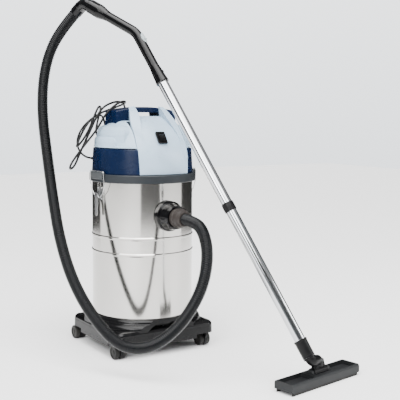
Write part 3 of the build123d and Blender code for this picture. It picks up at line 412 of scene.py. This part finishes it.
# %% Lead over the handle
LEAD_WIDE = 8
LEAD_ROUTE = [
    (-110, 190.5, 690), (-131, 226.9, 690), (-152, 256, 742), (-130, 250, 806), (-80, 214, 858),
    (-34, 150, 884), (-24, 88, 899), (-54, 36, 908), (-100, 12, 898), (-148, 4, 862),
    (-178, 12, 806), (-210, 26, 762), (-240, 42, 718), (-262, 60, 678), (-252, 90, 656),
    (-224, 108, 668), (-212, 92, 712), (-204, 68, 752), (-190, 46, 798), (-174, 34, 844),
    (-144, 34, 886), (-92, 50, 904), (-44, 78, 905), (-6, 122, 884), (8, 174, 836),
    (-6, 216, 782), (-46, 238, 752), (-88, 216, 784), (-100, 168, 836), (-112, 114, 882),
    (-140, 76, 890), (-168, 60, 850), (-186, 62, 804), (-204, 78, 764), (-213, 106, 740),
    (-202, 138, 738), (-182, 156, 768), (-160, 150, 812), (-118, 166, 850), (-66, 196, 858),
    (-30, 238, 800), (-14, 264, 700), (2, 276, 585), (24, 281, 470), (48, 282, 355),
    (68, 278, 245), (85, 269, 140), (85, 269, 32)]
print("lead over the handle:", round(length_of(line_of(LEAD_ROUTE, 4)), 2), "m")

# %% Coil on the floor
# millimetres
COIL_MID = (85, 317)
COIL_OUT = 60
COIL_IN = 36
COIL_REST = 52
STEPS = 14


def coil_point(turn, radius, height):
    """A point on the coil, so many turns round it from its front."""
    a = 2 * pi * turn - pi / 2
    return (COIL_MID[0] + radius * cos(a), COIL_MID[1] + radius * sin(a), height)


coil = []
for i in range(2, 3 * STEPS):
    coil.append(coil_point(i / STEPS, COIL_OUT, 28 - LEAD_WIDE * i / STEPS))
LAYERS = ((COIL_OUT, COIL_IN, 3), (COIL_IN, COIL_REST, 2), (COIL_REST, COIL_IN, 2))
for layer, (r_from, r_to, turns) in enumerate(LAYERS):
    for i in range(turns * STEPS):
        share = i / (turns * STEPS)
        height = LEAD_WIDE * (0.5 + layer)
        coil.append(coil_point(i / STEPS, r_from + (r_to - r_from) * share, height))
for i in range(STEPS):
    coil.append(coil_point(i / STEPS, COIL_IN, 20 + LEAD_WIDE * min(1, 2 * i / STEPS)))
TO_PLUG = [(117, 300, 28), (126, 322, 31), (128, 346, 36), (122, 362, 39), (109, 365, 39.5)]
print("coil points:", len(coil))

# %% The lead as one piece
lead_points = LEAD_ROUTE + coil + TO_PLUG
lead = spline_piece("mains_lead_line", lead_points, LEAD_WIDE)
lead.data.materials.append(FINISH["lead_rubber"])
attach(lead, "root")
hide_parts("mains_lead", "lead_coil")
LEAD_LONG = length_of(line_of(lead_points, 4))
print("lead", round(LEAD_LONG, 2), "m")

# %% [markdown]
# ## Boot on the lead
# A moulded boot keeps the lead from kinking where it leaves the head. Real boots taper and are cut
# with grooves, so they bend a little at a time. It follows the CAD boot's line and adds the
# grooves.

# %% Boot
BOOT_STEPS = 38
BOOT_WIDE = 9
BOOT_TAPER = 3.6
GROOVE_DEEP = 1.1
BOOT_FROM = 0.189  # metres from the drum's axis, the others in millimetres
boot_way = Vector((-0.5, 0.866, 0))
boot_line = [Vector((0, 0, 0.69)) + boot_way * (BOOT_FROM + MM * i) for i in range(BOOT_STEPS)]
boot_radii = []
for i in range(BOOT_STEPS):
    groove = GROOVE_DEEP if i > 6 and i % 5 in (3, 4) else 0
    boot_radii.append((BOOT_WIDE - BOOT_TAPER * i / (BOOT_STEPS - 1) - groove) * MM)
points, faces = skin(boot_line, boot_radii, 32)
boot = new_piece("grooved_boot", points, faces, FINISH["lead_rubber"])
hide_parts("lead_gland")
print("boot", round(length_of(boot_line) / MM), "mm long")

# %% [markdown]
# ## Pleated filter
# The cartridge is paper folded into sharp pleats round a core, which gives it far more area than a
# plain sleeve. The outline alternates between two radii, one pair for each pleat. Its faces are
# shaded flat, because smooth shading would round the folds off.

# %% Filter
PLEATS = 72
PLEAT_DEEP = 0.013  # metres
low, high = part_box("filter_cartridge")
outer = (high[0] - low[0]) / 2
count = 2 * PLEATS
points = []
for level in (low[2], high[2]):
    for k in range(count):
        reach = outer if k % 2 else outer - PLEAT_DEEP
        points.append((reach * cos(pi * k / PLEATS), reach * sin(pi * k / PLEATS), level))
faces = [(k, (k + 1) % count, (k + 1) % count + count, k + count) for k in range(count)]
filter_piece = new_piece("pleated_filter", points, faces, FINISH["filter_paper"])
for polygon in filter_piece.data.polygons:
    polygon.use_smooth = False
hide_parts("filter_cartridge")
print("filter pleats", PLEATS)

# %% [markdown]
# ## Floor and cards
# The machine stands on a plain pale floor. Polished steel shows whatever is round it, so dark cards
# stand just out of view, as they would in a studio: they draw the dark upright edges on the drum
# and tubes. The cards are seen only in reflections, and cast no shadow.

# %% Stage tools
def plain(name, code, rough):
    """A stage surface."""
    return finished(empty_material(name)[0], {"Base Color": linear(code), "Roughness": rough})


def stage_mesh(name, points, faces, finish):
    """A floor or card that isn't part of the object."""
    mesh = bpy.data.meshes.new(name)
    mesh.from_pydata(points, [], faces)
    mesh.materials.append(finish)
    piece = bpy.data.objects.new(name, mesh)
    bpy.context.scene.collection.objects.link(piece)
    return piece


# %% Floor and cards
# metres, and for FRONT degrees from -Y to the middle of the drum's seen side
CARD_TOP = 2.2
CARD_STEPS = 24
FRONT = -29
FLOOR_HALF = 8


def card(name, from_deg, to_deg, reach, code):
    """An upright curved card round the drum, between two angles from FRONT."""
    points = []
    for i in range(CARD_STEPS + 1):
        a = radians(FRONT + from_deg + (to_deg - from_deg) * i / CARD_STEPS)
        x, y = reach * sin(a), -reach * cos(a)
        points += [(x, y, 0.0), (x, y, CARD_TOP)]
    faces = [(2 * i, 2 * i + 2, 2 * i + 3, 2 * i + 1) for i in range(CARD_STEPS)]
    piece = stage_mesh(name, points, faces, plain(name + " card", code, 0.9))
    piece.visible_camera = False
    piece.visible_diffuse = False
    piece.visible_shadow = False


corners = [(-FLOOR_HALF, -FLOOR_HALF, 0), (FLOOR_HALF, -FLOOR_HALF, 0),
           (FLOOR_HALF, FLOOR_HALF, 0), (-FLOOR_HALF, FLOOR_HALF, 0)]
stage_mesh("floor", corners, [(0, 1, 2, 3)], plain("pale studio floor", "#F4F4F4", 0.6))
card("left_card", -200, -108, 3.0, "#060606")
card("right_card", 97, 159, 3.0, "#060606")
card("middle_card", -4, 38, 3.4, "#3C3C3C")
print("floor and three cards")

# %% [markdown]
# ## Lights
# A large lamp overhead and one at each side give soft light with long, clean highlights. A wide sun
# lifts the floor to white. The room's own light is bright overhead and dim at the sides, and only
# the camera sees it as a white backdrop.

# %% Lamps and sun
def lamp(name, place, aim, size, power):
    """A soft square light aimed at a point."""
    data = bpy.data.lights.new(name, "AREA")
    data.size = size
    data.energy = power
    lamp_object = bpy.data.objects.new(name, data)
    lamp_object.location = place
    towards = Vector(aim) - Vector(place)
    lamp_object.rotation_euler = towards.to_track_quat("-Z", "Y").to_euler()
    bpy.context.scene.collection.objects.link(lamp_object)


lamp("top", (0, -0.8, 3.4), (0, 0, 0.4), 2.6, 90)
lamp("left", (-3.2, -2.2, 1.9), (0, 0, 0.5), 1.6, 110)
lamp("right", (2.8, -2.6, 1.7), (0, 0, 0.5), 1.2, 50)
sky = bpy.data.lights.new("sky", "SUN")
sky.energy = 8.5
sky.angle = radians(70)
sky_object = bpy.data.objects.new("sky", sky)
sky_object.rotation_euler = (radians(22), radians(-18), 0)
bpy.context.scene.collection.objects.link(sky_object)
print("lights:", len(bpy.data.lights))

# %% Room
ROOM_LIGHT = 0.55
BACKDROP_LIGHT = 4.2
world = bpy.data.worlds.new("studio")
world.use_nodes = True
tree = world.node_tree
tree.nodes.clear()
where = add(tree, "TexCoord").outputs["Generated"]
height = add(tree, "SeparateXYZ", {0: where}).outputs["Z"]
share = add(tree, "MapRange", {"Value": height, "From Min": -0.1, "From Max": 0.8})
room = add(tree, "Mix", {0: share.outputs[0], 6: linear("#B8BCC0"), 7: linear("#FFFFFF")},
           data_type="RGBA")
seen = add(tree, "LightPath").outputs["Is Camera Ray"]
strength = add(tree, "MapRange", {"Value": seen, "To Min": ROOM_LIGHT, "To Max": BACKDROP_LIGHT})
background = add(tree, "Background", {"Color": room.outputs[2], "Strength": strength.outputs[0]})
add(tree, "OutputWorld", {"Surface": background.outputs[0]})
bpy.context.scene.world = world
print("room nodes:", len(tree.nodes))

# %% [markdown]
# ## Camera
# The view is from the front left, a little above the drum, looking slightly down. It is far enough
# away for the upright edges to stay nearly upright, which takes a lens of about 76 mm.

# %% Camera
CAMERA_PLACE = (-1.5176, -2.7323, 0.8784)
HEADING_DEG = 32.98
DOWN_DEG = 6.13
ROLL_DEG = 0.47
camera = bpy.data.cameras.new("camera")
camera.sensor_width = 36
camera.lens = 75.84
camera_object = bpy.data.objects.new("camera", camera)
camera_object.matrix_world = (Matrix.Translation(CAMERA_PLACE)
                              @ Matrix.Rotation(radians(-HEADING_DEG), 4, "Z")
                              @ Matrix.Rotation(radians(90 - DOWN_DEG), 4, "X")
                              @ Matrix.Rotation(radians(ROLL_DEG), 4, "Z"))
bpy.context.scene.collection.objects.link(camera_object)
bpy.context.scene.camera = camera_object
print("camera at", CAMERA_PLACE)
